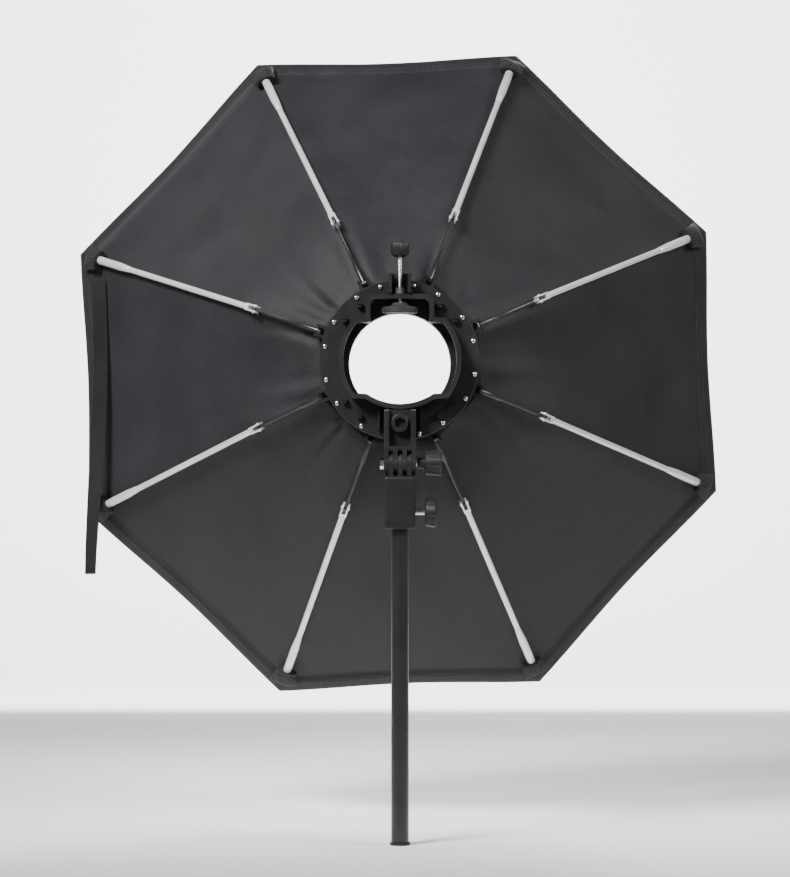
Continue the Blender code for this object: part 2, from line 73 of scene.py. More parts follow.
PLATE_LOW, PLATE_HIGH = [Vector(corner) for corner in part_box("bracket_plate")]
RING_Z = (PLATE_LOW.z + PLATE_HIGH.z) / 2
CENTRE = Vector((0, 0, RING_Z))
PLATE_FRONT = PLATE_HIGH.y
PLATE_BACK = PLATE_FRONT - 0.005  # the plate is 5 mm thick; its box also holds the lip
HINGE = joint_point("fold_1")
ELBOW = joint_point("elbow_1")
HINGE_R = math.hypot(HINGE.x, HINGE.z - RING_Z)
ELBOW_R = math.hypot(ELBOW.x, ELBOW.z - RING_Z)
FIRST_RIB = math.atan2(HINGE.z - RING_Z, HINGE.x)

LINK_SLOPE = math.atan2(ELBOW.y - HINGE.y, ELBOW_R - HINGE_R)
RIB_SLOPE = math.radians(47.5)
TIP_R = 0.320
ROD_RADIUS = 0.0028
SLEEVE_RADIUS = 0.0040
SLEEVE_LENGTH = 0.060
ROD_LENGTH = (TIP_R - ELBOW_R) / math.cos(RIB_SLOPE)

CLOTH_START_R = 0.080
CLOTH_END_R = 0.338
CLOTH_OFFSET = 0.0085
CLOTH_THICKNESS = 0.0012
BEND_START_R = 0.106
BEND_LENGTH = 0.076
HALF = SECTOR / 2
MIDLINE = math.cos(HALF) * math.sin(HALF)  # a midline point's sideways distance, for a rib radius of 1
STRIP_HALF = 0.0245  # narrower than the folded octagon's side, so folded strips clear each other
HEM_R = 0.3265
STITCH_R = (0.3240, 0.3300)
STITCH_PITCH = 0.0050
STITCH_SIZE = (0.0034, 0.0005, 0.0005)
COLLAR_HOLE_R = 0.0545
EDGE_ROW = 0.0004  # a narrow row of faces beside each joined edge, so both sides shade alike
POCKET_START = 0.0090  # how far the pocket reaches back from the rib's tip
POCKET_LENGTH = 0.0265
BOSS_CIRCLE_R = 0.0626
RIVET_CIRCLE_R = 0.0694

# ---------------------------------------------------------------- materials


def nodes_of(name):
    material = bpy.data.materials.new(name)
    material.use_nodes = True
    tree = material.node_tree
    return material, tree, tree.nodes["Principled BSDF"]


def set_inputs(node, **values):
    for key, value in values.items():
        node.inputs[key.replace("_", " ")].default_value = value


def colour_ramp(tree, source, low, high, start=0.3, end=0.7):
    ramp = tree.nodes.new("ShaderNodeValToRGB")
    ramp.color_ramp.elements[0].position = start
    ramp.color_ramp.elements[1].position = end
    ramp.color_ramp.elements[0].color = (*low, 1)
    ramp.color_ramp.elements[1].color = (*high, 1)
    tree.links.new(source, ramp.inputs["Fac"])
    return ramp.outputs["Color"]


def bump(tree, shader, source, distance, strength=1.0, below=None):
    node = tree.nodes.new("ShaderNodeBump")
    node.inputs["Strength"].default_value = strength
    node.inputs["Distance"].default_value = distance
    tree.links.new(source, node.inputs["Height"])
    if below:
        tree.links.new(below, node.inputs["Normal"])
    tree.links.new(node.outputs["Normal"], shader.inputs["Normal"])
    return node.outputs["Normal"]


def noise_node(tree, coords, scale, detail=3.0, roughness=0.5):
    node = tree.nodes.new("ShaderNodeTexNoise")
    set_inputs(node, Scale=scale, Detail=detail, Roughness=roughness)
    tree.links.new(coords, node.inputs["Vector"])
    return node.outputs["Fac"]


def wave_node(tree, coords, direction, period, distortion=0.0):
    node = tree.nodes.new("ShaderNodeTexWave")
    node.bands_direction = direction
    set_inputs(node, Scale=2 * math.pi / (20 * period), Distortion=distortion, Detail=1.0)
    tree.links.new(coords, node.inputs["Vector"])
    return node.outputs["Fac"]


def combine(tree, operation, a, b):
    node = tree.nodes.new("ShaderNodeMath")
    node.operation = operation
    tree.links.new(a, node.inputs[0])
    if isinstance(b, float):
        node.inputs[1].default_value = b
    else:
        tree.links.new(b, node.inputs[1])
    return node.outputs[0]


def cloth_material(name, low, high, roughness, weave, sheen=0.0, metallic=0.0, relief=0.00012):
    """Plain-woven cloth: two crossed thread waves on the UVs, with slow changes of tone.

    low and high are the two ends of its tone, and weave is the thread spacing in metres.
    """
    material, tree, shader = nodes_of(name)
    coords = tree.nodes.new("ShaderNodeTexCoord")
    warp = wave_node(tree, coords.outputs["UV"], "X", weave, 0.4)
    weft = wave_node(tree, coords.outputs["UV"], "Y", weave, 0.4)
    threads = combine(tree, "MAXIMUM", warp, weft)
    slow = noise_node(tree, coords.outputs["Object"], 16.0, 4.0)
    fine = noise_node(tree, coords.outputs["Object"], 240.0, 2.0)
    tone = combine(tree, "ADD", combine(tree, "MULTIPLY", slow, 0.7), combine(tree, "MULTIPLY", fine, 0.3))
    tree.links.new(colour_ramp(tree, tone, low, high), shader.inputs["Base Color"])
    rough = tree.nodes.new("ShaderNodeMapRange")
    set_inputs(rough, To_Min=roughness - 0.06, To_Max=roughness + 0.08)
    tree.links.new(slow, rough.inputs["Value"])
    tree.links.new(rough.outputs["Result"], shader.inputs["Roughness"])
    shader.inputs["Metallic"].default_value = metallic
    shader.inputs["Specular IOR Level"].default_value = 0.5 if metallic else 0.22
    shader.inputs["Sheen Weight"].default_value = sheen
    shader.inputs["Sheen Roughness"].default_value = 0.45
    creases = bump(tree, shader, slow, 0.004, 0.35)
    bump(tree, shader, threads, relief, 0.8, creases)
    return material


def hard_material(name, low, high, roughness, grain, relief, metallic=0.0, coat=0.0):
    """A moulded or metal surface: tone, roughness and a fine relief, all from noise."""
    material, tree, shader = nodes_of(name)
    coords = tree.nodes.new("ShaderNodeTexCoord")
    slow = noise_node(tree, coords.outputs["Object"], 35.0, 4.0, 0.6)
    fine = noise_node(tree, coords.outputs["Object"], grain, 2.0, 0.6)
    tree.links.new(colour_ramp(tree, slow, low, high), shader.inputs["Base Color"])
    rough = tree.nodes.new("ShaderNodeMapRange")
    set_inputs(rough, To_Min=max(roughness - 0.07, 0.04), To_Max=roughness + 0.12)
    tree.links.new(slow, rough.inputs["Value"])
    tree.links.new(rough.outputs["Result"], shader.inputs["Roughness"])
    shader.inputs["Metallic"].default_value = metallic
    shader.inputs["Specular IOR Level"].default_value = 0.5 if metallic else 0.32
    shader.inputs["Coat Weight"].default_value = coat
    shader.inputs["Coat Roughness"].default_value = 0.25
    bump(tree, shader, fine, relief, 0.6)
    return material


NYLON = cloth_material(
    "black_nylon", (0.009, 0.009, 0.0108), (0.017, 0.017, 0.0195), 0.58, 0.0011, 0.03
)
LINING = cloth_material(
    "silver_lining", (0.62, 0.63, 0.65), (0.80, 0.81, 0.83), 0.34, 0.0022, 0.0, 0.9, 0.0003
)
WEBBING = cloth_material(
    "webbing", (0.009, 0.009, 0.010), (0.018, 0.018, 0.020), 0.75, 0.0016, 0.02, 0.0, 0.0004
)
BINDING = cloth_material(
    "edge_binding", (0.009, 0.009, 0.0105), (0.017, 0.017, 0.019), 0.7, 0.0012, 0.02, 0.0, 0.0003
)
THREAD = hard_material(
    "sewing_thread", (0.020, 0.020, 0.022), (0.045, 0.045, 0.048), 0.6, 2500.0, 0.0002
)
PLASTIC = hard_material(
    "black_moulding", (0.008, 0.008, 0.0095), (0.013, 0.013, 0.0145), 0.40, 1500.0, 0.00008
)
KNOB = hard_material(
    "knob_moulding", (0.009, 0.009, 0.009), (0.015, 0.015, 0.0145), 0.42, 1500.0, 0.00008
)
ALUMINIUM = hard_material(
    "rib_aluminium", (0.74, 0.74, 0.75), (0.86, 0.86, 0.87), 0.30, 900.0, 0.00004, 0.55
)
BRIGHT = hard_material(
    "bright_steel", (0.66, 0.66, 0.67), (0.80, 0.80, 0.81), 0.20, 1200.0, 0.00003, 1.0
)
BLACK_STEEL = hard_material(
    "black_steel", (0.009, 0.009, 0.010), (0.015, 0.015, 0.016), 0.30, 700.0, 0.00004, 0.1, 0.25
)
RUBBER = hard_material(
    "rubber", (0.012, 0.012, 0.012), (0.024, 0.024, 0.024), 0.62, 1800.0, 0.0001
)

# ---------------------------------------------------------------- mesh helpers


def rib_angle(rib):
    return FIRST_RIB + (rib - 1) * SECTOR


def rib_axes(rib):
    """The outward direction and the sideways direction of a rib."""
    angle = rib_angle(rib)
    return Vector((math.cos(angle), 0, math.sin(angle))), Vector((-math.sin(angle), 0, math.cos(angle)))


def rib_place(rib):
    """The matrix that puts a shape drawn with X outward, Y forward and Z sideways on a rib's plane."""
    out, side = rib_axes(rib)
    rows = [(out[i], (0, 1, 0)[i], side[i], CENTRE[i]) for i in range(3)]
    return Matrix((*rows, (0, 0, 0, 1)))


def piece(name, bm, materials, body=None, smooth=True, sharp=40):
    mesh = bpy.data.meshes.new(name)
    bmesh.ops.recalc_face_normals(bm, faces=bm.faces)
    bm.to_mesh(mesh)
    bm.free()
    for material in materials:
        mesh.materials.append(material)
    if smooth:
        mesh.shade_smooth()
        mesh.set_sharp_from_angle(angle=math.radians(sharp))
    obj = bpy.data.objects.new(name, mesh)
    bpy.context.scene.collection.objects.link(obj)
    if body:
        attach(obj, body)
    return obj


def ring_surface(bm, rings, closed_ends=True, material=0):
    """Skins a list of equal rings of points into a tube, with flat ends."""
    rows = [[bm.verts.new(p) for p in ring] for ring in rings]
    count = len(rows[0])
    for a, b in zip(rows, rows[1:]):
        for i in range(count):
            j = (i + 1) % count
            face = bm.faces.new((a[i], a[j], b[j], b[i]))
            face.material_index = material
    if closed_ends:
        for end in (rows[0][::-1], rows[-1]):
            face = bm.faces.new(end)
            face.material_index = material
    return rows


def turned_rings(profile, sides, place):
    """Rings about the local Z axis from (radius, height) points, moved by a matrix."""
    rings = []
    for radius, height in profile:
        ring = []
        for i in range(sides):
            turn = 2 * math.pi * i / sides
            ring.append(place @ Vector((radius * math.cos(turn), radius * math.sin(turn), height)))
        rings.append(ring)
    return rings


def add_turned(bm, profile, sides, place, material=0):
    ring_surface(bm, turned_rings(profile, sides, place), material=material)


def axis_place(origin, direction):
    """The matrix that puts a shape drawn up the Z axis at a point, along a direction."""
    turn = Vector(direction).to_track_quat("Z", "Y").to_matrix().to_4x4()
    return Matrix.Translation(origin) @ turn


def add_box(bm, place, size, material=0):
    made = bmesh.ops.create_cube(bm, size=1.0, matrix=place @ Matrix.Diagonal((*size, 1)))
    for vert in made["verts"]:
        for face in vert.link_faces:
            face.material_index = material


# ---------------------------------------------------------------- canopy


def cloth_slope(radius):
    share = min(1.0, max(0.0, (radius - BEND_START_R) / BEND_LENGTH))
    return LINK_SLOPE + (RIB_SLOPE - LINK_SLOPE) * share * share * (3 - 2 * share)


def cloth_profile():
    """The cloth's rows from the ring to the rim: (rib radius, depth)."""
    step = 0.0005
    depth = HINGE.y + (CLOTH_START_R - HINGE_R) * math.tan(LINK_SLOPE) + CLOTH_OFFSET
    table = [(CLOTH_START_R, depth)]
    while table[-1][0] < CLOTH_END_R - step / 2:
        radius = table[-1][0]
        depth += math.tan(cloth_slope(radius + step / 2)) * step
        table.append((radius + step, depth))
    return table


PROFILE = cloth_profile()


def cloth_depth(radius):
    place = (radius - CLOTH_START_R) / (CLOTH_END_R - CLOTH_START_R) * (len(PROFILE) - 1)
    i = min(len(PROFILE) - 2, max(0, int(place)))
    share = place - i
    return PROFILE[i][1] * (1 - share) + PROFILE[i + 1][1] * share


def pulls(radius, across_share, point):
    """How far the cloth moves forward at a point: its sag, the folds at the ring and puckers at the hem."""
    between = math.sin(min(1.0, across_share) * math.pi / 2) ** 2
    sag = 0.0075 * between * math.exp(-(((radius - 0.165) / 0.055) ** 2))
    flat = Vector((point.x, point.z - RING_Z, 0))
    angle = math.atan2(flat.y, flat.x)
    near_ring = math.exp(-(radius - CLOTH_START_R) / 0.042) * min(1.0, (radius - CLOTH_START_R) / 0.008)
    wander = noise.noise(Vector((math.cos(angle) * 3, math.sin(angle) * 3, radius * 6)))
    folds = 0.0034 * near_ring * math.sin(angle * 19 + wander * 7) * (0.6 + 0.8 * abs(wander))
    near_hem = math.exp(-abs(CLOTH_END_R - 0.012 - radius) / 0.016)
    pucker = 0.0011 * near_hem * noise.noise(flat * 42 + Vector((7, 3, 1)))
    billow = 0.0022 * noise.noise(flat * 9 + Vector((2, 9, 4))) * min(1.0, (radius - CLOTH_START_R) / 0.05)
    creases = 0.0010 * noise.noise(Vector((flat.x * 30 + flat.y * 12, flat.y * 9 - flat.x * 22, 5)))
    creases *= min(1.0, (radius - CLOTH_START_R) / 0.03)
    return sag + folds + pucker + billow * (0.3 + 0.7 * between) + creases * between


def cloth_rows(first, last, count):
    return [first + (last - first) * i / count for i in range(count + 1)]


RIM_ROWS = [(0.3384, 0.0030), (0.3384, 0.0075), (0.3376, 0.0115)]  # the lip: rib radius, depth past the rim


def cloth_point(rib_matrix, radius, across, extra_depth=0.0):
    """A point on the cloth, at a rib radius and a sideways distance from the rib's own line."""
    edge = radius * MIDLINE
    share = min(1.0, abs(across) / edge)
    held = min(radius, CLOTH_END_R)
    scallop = 0.0035 * math.sin(share * math.pi / 2) ** 2 * max(0.0, (held - 0.25) / 0.088) ** 2
    outward = radius - abs(across) * math.tan(HALF) - scallop
    local = Vector((outward, cloth_depth(held) + extra_depth, across))
    rest = rib_matrix @ local
    local.y += pulls(held, share, rest)
    return rib_matrix @ local


def cloth_piece(name, rib, rows, spans, rim):
    """One closed piece of the canopy: black behind, silver lining in front, and the lip if rim is true.

    Returns the piece and its flat pattern, as rows of (sideways, along) places.
    spans gives, for a rib radius, the sideways distances of the piece's columns.
    """
    matrix = rib_place(rib)
    bm = bmesh.new()
    uv = bm.loops.layers.uv.new("UVMap")
    stations = [(radius, 0.0, radius >= HEM_R) for radius in rows]
    if rim:
        stations += [(radius, depth, True) for radius, depth in RIM_ROWS]
    outer, inner, coords = [], [], []
    run = 0.0
    for index, (radius, extra, doubled) in enumerate(stations):
        columns = spans(radius)
        depth = cloth_depth(min(radius, CLOTH_END_R)) + extra
        if index:
            before, before_extra, _ = stations[index - 1]
            before_depth = cloth_depth(min(before, CLOTH_END_R)) + before_extra
            run += math.hypot(radius - before, depth - before_depth)
        thick = CLOTH_THICKNESS + (0.0006 if doubled else 0.0)
        raised = 0.0006 if doubled and not extra else 0.0
        back = [cloth_point(matrix, radius, t, extra - raised) for t in columns]
        if extra:
            toward = -(matrix.to_3x3() @ Vector((1, 0, 0))) * thick
            front = [point + toward for point in back]
        else:
            front = [point + Vector((0, thick * 1.3, 0)) for point in back]
        outer.append([bm.verts.new(p) for p in back])
        inner.append([bm.verts.new(p) for p in front])
        coords.append([(t, run) for t in columns])
    last = len(stations) - 1
    wide = len(outer[0]) - 1

    def face(verts, places, material):
        made = bm.faces.new(verts)
        made.material_index = material
        for loop, place in zip(made.loops, places):
            loop[uv].uv = place

    for i in range(last):
        for j in range(wide):
            places = [coords[i][j], coords[i][j + 1], coords[i + 1][j + 1], coords[i + 1][j]]
            back = [outer[i][j], outer[i][j + 1], outer[i + 1][j + 1], outer[i + 1][j]]
            front = [inner[i][j], inner[i + 1][j], inner[i + 1][j + 1], inner[i][j + 1]]
            face(back, places, 0 if i < len(rows) - 1 else 1)
            face(front, [places[0], places[3], places[2], places[1]], 2 if i < len(rows) - 1 else 1)
        for j in (0, wide):
            side = [outer[i][j], outer[i + 1][j], inner[i + 1][j], inner[i][j]]
            face(side, [coords[i][j]] * 4, 0)
    for i in (0, last):
        for j in range(wide):
            end = [outer[i][j], outer[i][j + 1], inner[i][j + 1], inner[i][j]]
            face(end, [coords[i][j]] * 4, 1)
    bmesh.ops.remove_doubles(bm, verts=bm.verts, dist=0.00001)
    bmesh.ops.recalc_face_normals(bm, faces=bm.faces)
    if rim:
        for radius in STITCH_R:
            add_stitches(bm, matrix, radius, spans(radius))
    return piece(name, bm, [NYLON, BINDING, LINING, THREAD], sharp=55), coords


def add_stitches(bm, matrix, radius, columns):
    """A row of raised stitches along the hem."""
    low, high = min(columns), max(columns)
    count = max(1, int((high - low) / STITCH_PITCH))
    for i in range(count):
        across = low + (high - low) * (i + 0.5) / count
        here = cloth_point(matrix, radius, across, -0.0008)
        ahead = cloth_point(matrix, radius, across + 0.001, -0.0008)
        place = Matrix.Translation(here) @ (ahead - here).to_track_quat("X", "Z").to_matrix().to_4x4()
        add_box(bm, place, STITCH_SIZE, 3)


def strip_span(radius):
    """The sideways distances of a rib strip's columns."""
    columns = 12
    half = min(STRIP_HALF, radius * MIDLINE)
    inside = half - EDGE_ROW
    return [-half] + [inside * (2 * i / columns - 1) for i in range(columns + 1)] + [half]


def wing_span(side):
    """Gives the function for the columns of the wing on one side of a rib."""

    def span(radius):
        columns = 12
        wide = max(radius * MIDLINE - STRIP_HALF, 0.00002)
        narrow = min(EDGE_ROW, wide / 8)
        steps = [narrow + (wide - 2 * narrow) * i / columns for i in range(columns + 1)]
        return [side * (STRIP_HALF + step) for step in [0.0] + steps + [wide]]

    return span


def make_canopy():
    """Each rib's strip is one piece, shaped with a bend near the elbow and attached to no body; its four
    wings are attached to the rib's link and rib, so they fold with them.
    """
    outer_rows = [ELBOW_R] + cloth_rows(ELBOW_R + EDGE_ROW, HEM_R - 0.0006, 26)
    outer_rows += [HEM_R, 0.3300, 0.3345, CLOTH_END_R]
    inner_rows = cloth_rows(CLOTH_START_R, ELBOW_R - EDGE_ROW, 14) + [ELBOW_R]
    for rib in range(1, RIBS + 1):
        all_rows = inner_rows[:-1] + outer_rows
        strip, pattern = cloth_piece(f"canopy_strip_{rib}", rib, all_rows, strip_span, True)
        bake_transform(strip)
        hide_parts(f"canopy_panel_{rib}")
        for side, word in ((-1, "low"), (1, "high")):
            for body, rows, rim in (("link", inner_rows, False), ("rib", outer_rows, True)):
                name = f"canopy_wing_{rib}_{word}_{body}"
                wing, pattern = cloth_piece(name, rib, rows, wing_span(side), rim)
                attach(wing, f"{body}_{rib}")
                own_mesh(wing)


def make_collar():
    """The cloth between the ring and the eight panels, clamped by the retainer ring."""
    low, high = [Vector(corner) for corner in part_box("cloth_collar")]
    sides = 64
    bm = bmesh.new()
    rings = []
    first_depth = PROFILE[0][1]
    for share in (0.0, 0.25, 0.5, 0.75, 1.0):
        ring = []
        for i in range(sides):
            turn = FIRST_RIB + 2 * math.pi * i / sides
            local = (turn - FIRST_RIB) % SECTOR - HALF
            edge = CLOTH_START_R * math.cos(HALF) / math.cos(local)
            radius = COLLAR_HOLE_R + (edge - COLLAR_HOLE_R) * share
            depth = low.y + 0.0003 + (first_depth - low.y - 0.0003) * share**1.5
            depth += 0.0005 * math.sin(turn * 21) * share * (1 - share) * 4
            ring.append(Vector((radius * math.cos(turn), depth, RING_Z + radius * math.sin(turn))))
        rings.append(ring)
    back = [[bm.verts.new(p) for p in ring] for ring in rings]
    front = [[bm.verts.new(p + Vector((0, 0.0010, 0))) for p in ring] for ring in rings]
    for i in range(len(rings) - 1):
        for j in range(sides):
            k = (j + 1) % sides
            bm.faces.new((back[i][j], back[i][k], back[i + 1][k], back[i + 1][j])).material_index = 0
            bm.faces.new((front[i][j], front[i + 1][j], front[i + 1][k], front[i][k])).material_index = 1
    for i in (0, len(rings) - 1):
        for j in range(sides):
            k = (j + 1) % sides
            bm.faces.new((back[i][j], back[i][k], front[i][k], front[i][j]))
    collar = piece("collar_cloth", bm, [NYLON, LINING], "bracket")
    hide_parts("cloth_collar")


def make_pockets():
    """A sewn pocket at each corner that holds a rib's tip."""
    for rib in range(1, RIBS + 1):
        matrix = rib_place(rib)
        along = Vector((math.cos(RIB_SLOPE), math.sin(RIB_SLOPE), 0))
        behind = Vector((math.sin(RIB_SLOPE), -math.cos(RIB_SLOPE), 0))
        tip = Vector((TIP_R, ELBOW.y + (TIP_R - ELBOW_R) * math.tan(RIB_SLOPE), 0))
        steps, sides = 14, 18
        rings = []
        for i in range(steps + 1):
            s = i / steps
            centre = tip + along * (-POCKET_START + POCKET_LENGTH * s)
            height = 0.0062 * math.sqrt(max(0.0, 1 - max(0.0, (s - 0.25) / 0.75) ** 2.2)) + 0.0006
            width = 0.0095 + 0.0040 * s
            drop = -0.0060 * s
            ring = []
            for j in range(sides):
                turn = 2 * math.pi * j / sides
                lift = math.sin(turn)
                arch = height * lift if lift > 0 else 0.0030 * (1 - 0.6 * s) * lift
                ripple = 0.0004 * math.sin(turn * 5 + s * 9 + rib)
                sideways = Vector((0, 0, width * math.cos(turn)))
                ring.append(matrix @ (centre + behind * (arch + ripple + drop * 0.6) + sideways))
            rings.append(ring)
        bm = bmesh.new()
        ring_surface(bm, rings)
        for s in (0.16, 0.30):
            centre = tip + along * (-POCKET_START + POCKET_LENGTH * s)
            for j in range(9):
                turn = math.pi * (j + 0.5) / 9
                sideways = Vector((0, 0, (0.0099 + 0.0040 * s) * math.cos(turn)))
                spot = centre + behind * (0.0070 * math.sin(turn) + 0.0001) + sideways
                place = Matrix.Translation(matrix @ spot) @ matrix.to_3x3().to_4x4()
                add_box(bm, place, (0.0010, 0.0005, 0.0016), 1)
        piece(f"corner_pocket_{rib}", bm, [BINDING, THREAD], f"rib_{rib}", sharp=70)


def make_strap():
    """The tie strap: flat webbing that hangs by the left-hand hem, with a little twist."""
    low, high = [Vector(corner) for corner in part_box("tie_strap")]
    middle = (low + high) / 2
    length = high.z - low.z
    width = high.x - low.x
    thick = 0.0012
    bm = bmesh.new()
    uv = bm.loops.layers.uv.new("UVMap")
    rows, columns = 48, 4
    grid = []
    for i in range(rows + 1):
        s = i / rows
        twist = 0.22 * math.sin(s * 5.2 + 0.4) + 0.35 * s * s
        taper = 1.0 if s < 0.62 else 1.0 - 0.25 * (s - 0.62) / 0.38
        sway = Vector((0.0035 * math.sin(s * 4.4) - 0.004 * s, 0.0035 * math.sin(s * 6.0 + 1.0), 0))
        centre = Vector((middle.x, middle.y, high.z - length * s)) + sway
        across = Vector((math.cos(twist), math.sin(twist), 0))
        through = Vector((-math.sin(twist), math.cos(twist), 0)) * thick / 2
        row = []
        for j in range(columns + 1):
            spot = centre + across * width * taper * (j / columns - 0.5)
            back = bm.verts.new(spot - through)
            front = bm.verts.new(spot + through)
            row.append((back, front, (width * j / columns, length * s)))
        grid.append(row)

    def face(corners, places):
        made = bm.faces.new(corners)
        for loop, place in zip(made.loops, places):
            loop[uv].uv = place

    for i in range(rows):
        for j in range(columns):
            quad = [grid[i][j], grid[i][j + 1], grid[i + 1][j + 1], grid[i + 1][j]]
            face([q[0] for q in quad], [q[2] for q in quad])
            face([q[1] for q in quad[::-1]], [q[2] for q in quad[::-1]])
        for j in (0, columns):
            a, b = grid[i][j], grid[i + 1][j]
            face([a[0], b[0], b[1], a[1]], [a[2]] * 4)
    for i in (0, rows):
        for j in range(columns):
            a, b = grid[i][j], grid[i][j + 1]
            face([a[0], b[0], b[1], a[1]], [a[2]] * 4)
    strap = piece("hanging_strap", bm, [WEBBING], "rib_4", sharp=60)
    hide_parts("tie_strap")


# ---------------------------------------------------------------- ribs


def arc_rings(place, start, profile, sides):
    """Rings of a rod along local X from (distance, radius) points."""
    rings = []
    for distance, radius in profile:
        ring = []
        for i in range(sides):
            turn = 2 * math.pi * i / sides
            offset = Vector((distance, radius * math.cos(turn), radius * math.sin(turn)))
            ring.append(place @ (start + offset))
        rings.append(ring)
    return rings


def make_ribs():
    """The bright outer rods with forked ends, their tip sleeves, and the black inner bars."""
    for rib in range(1, RIBS + 1):
        base = rib_place(rib)
        elbow = base @ Matrix.Translation((ELBOW_R, ELBOW.y, 0)) @ Matrix.Rotation(RIB_SLOPE, 4, "Z")
        bm = bmesh.new()
        end = ROD_LENGTH - SLEEVE_LENGTH - 0.0003
        profile = [(0.0085, 0.0020), (0.0092, 0.0026), (0.0105, ROD_RADIUS)]
        profile += [(0.0105 + (end - 0.0105) * i / 6, ROD_RADIUS) for i in range(1, 7)]
        ring_surface(bm, arc_rings(elbow, Vector(), profile, 24))
        for side in (-1, 1):
            cheek = elbow @ Matrix.Translation((0.0034, 0, side * 0.00255))
            cheek_size = Matrix.Diagonal((0.0158, 0.0058, 0.0017, 1))
            made = bmesh.ops.create_cube(bm, size=1.0, matrix=cheek @ cheek_size)
            edges = list({edge for vert in made["verts"] for edge in vert.link_edges})
            bmesh.ops.bevel(bm, geom=edges, offset=0.0005, segments=2, affect="EDGES", profile=0.6)
        bridge = elbow @ Matrix.Translation((0.0088, 0, 0))
        add_box(bm, bridge, (0.0045, 0.0054, 0.0060))
        for side in (-1, 1):
            head = axis_place(elbow @ Vector((0, 0, side * 0.0032)), elbow.to_3x3() @ Vector((0, 0, side)))
            add_turned(bm, [(0.0015, 0), (0.0017, 0.0003), (0.0013, 0.0008), (0.0006, 0.0010)], 16, head)
        rod = piece(f"rib_rod_{rib}", bm, [ALUMINIUM], f"rib_{rib}")
        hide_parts(f"rib_{rib}")

        bm = bmesh.new()
        first = ROD_LENGTH - SLEEVE_LENGTH
        shape = [(0, 0.0028), (0.0006, 0.0031), (0.0120, 0.0037), (0.0150, SLEEVE_RADIUS)]
        shape += [(0.0150 + 0.0370 * i / 4, SLEEVE_RADIUS) for i in range(1, 5)]
        shape += [(0.0560, 0.0038), (0.0585, 0.0031), (0.0596, 0.0020), (0.0600, 0.0008)]
        ring_surface(bm, arc_rings(elbow, Vector((first, 0, 0)), shape, 24))
        sleeve = piece(f"tip_sleeve_{rib}", bm, [ALUMINIUM], f"rib_{rib}")
        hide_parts(f"rib_sleeve_{rib}")

        hinge = base @ Matrix.Translation((HINGE_R, HINGE.y, 0)) @ Matrix.Rotation(LINK_SLOPE, 4, "Z")
        reach = (ELBOW_R - HINGE_R) / math.cos(LINK_SLOPE)
        bm = bmesh.new()
        bar = [(0.0010, 0.0020), (0.0018, 0.0023), (0.0245, 0.0023), (0.0262, 0.0017), (0.0270, 0.0014)]
        bar += [(0.0270 + (reach - 0.0060 - 0.0270) * i / 3, 0.0014) for i in range(1, 4)]
        bar += [(reach - 0.0030, 0.0011)]
        ring_surface(bm, arc_rings(hinge, Vector(), bar, 20))
        for length, radius in ((0.0050, 0.0028), (0.0104, 0.0012)):
            low = axis_place(hinge @ Vector((0, 0, -length / 2)), hinge.to_3x3() @ Vector((0, 0, 1)))
            soft = radius * 0.12
            outline = [(radius - soft, 0), (radius, soft), (radius, length - soft), (radius - soft, length)]
            add_turned(bm, outline, 20, low)
        eye = axis_place(hinge @ Vector((reach, 0, -0.0013)), hinge.to_3x3() @ Vector((0, 0, 1)))
        add_turned(bm, [(0.0023, 0), (0.0025, 0.0003), (0.0025, 0.0023), (0.0023, 0.0026)], 20, eye)
        tongue = hinge @ Matrix.Translation((reach - 0.0048, 0, 0))
        add_box(bm, tongue, (0.0075, 0.0026, 0.0024))
        link = piece(f"link_bar_{rib}", bm, [BLACK_STEEL], f"link_{rib}")
        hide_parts(f"link_{rib}")


# ---------------------------------------------------------------- small hardware


def axis_spot(radius, turn, depth):
    """A point round the ring's own axis."""
    return Vector((radius * math.cos(turn), depth, RING_Z + radius * math.sin(turn)))


def make_rivets():
    """Two bright rivets by each rib's hinge, through the bracket's plate and the rib ring."""
    spread = math.radians(9.85)
    bm = bmesh.new()
    for rib in range(1, RIBS + 1):
        for side in (-1, 1):
            turn = rib_angle(rib) + side * spread
            spot = axis_spot(RIVET_CIRCLE_R, turn, PLATE_BACK)
            head = [(0.0022, 0.0), (0.0023, 0.0003), (0.0021, 0.0008), (0.0016, 0.0012)]
            head += [(0.0009, 0.0014), (0.0003, 0.00145)]
            add_turned(bm, head, 20, axis_place(spot, (0, -1, 0)))
    piece("ring_rivets", bm, [BRIGHT], "bracket", sharp=60)


def make_boss_screws():
    """The slotted heads on the plate's eight bosses."""
    bm = bmesh.new()
    back = PLATE_BACK - 0.0045
    for i in range(4):
        for side in (-1, 1):
            turn = math.pi / 4 + i * math.pi / 2 + side * math.radians(8.9)
            spot = axis_spot(BOSS_CIRCLE_R, turn, back)
            place = axis_place(spot, (0, -1, 0))
            for half in (-1, 1):
                points = []
                for j in range(11):
                    around = half * math.pi / 2 - math.pi / 2 * 0.92 + math.pi * 0.92 * j / 10
                    points.append((0.0024 * math.cos(around), 0.0024 * math.sin(around)))
                rings = [[place @ Vector((x, y, z)) for x, y in points] for z in (0.0, 0.0007, 0.0010)]
                ring_surface(bm, rings)
    piece("boss_screw_heads", bm, [PLASTIC], "bracket")


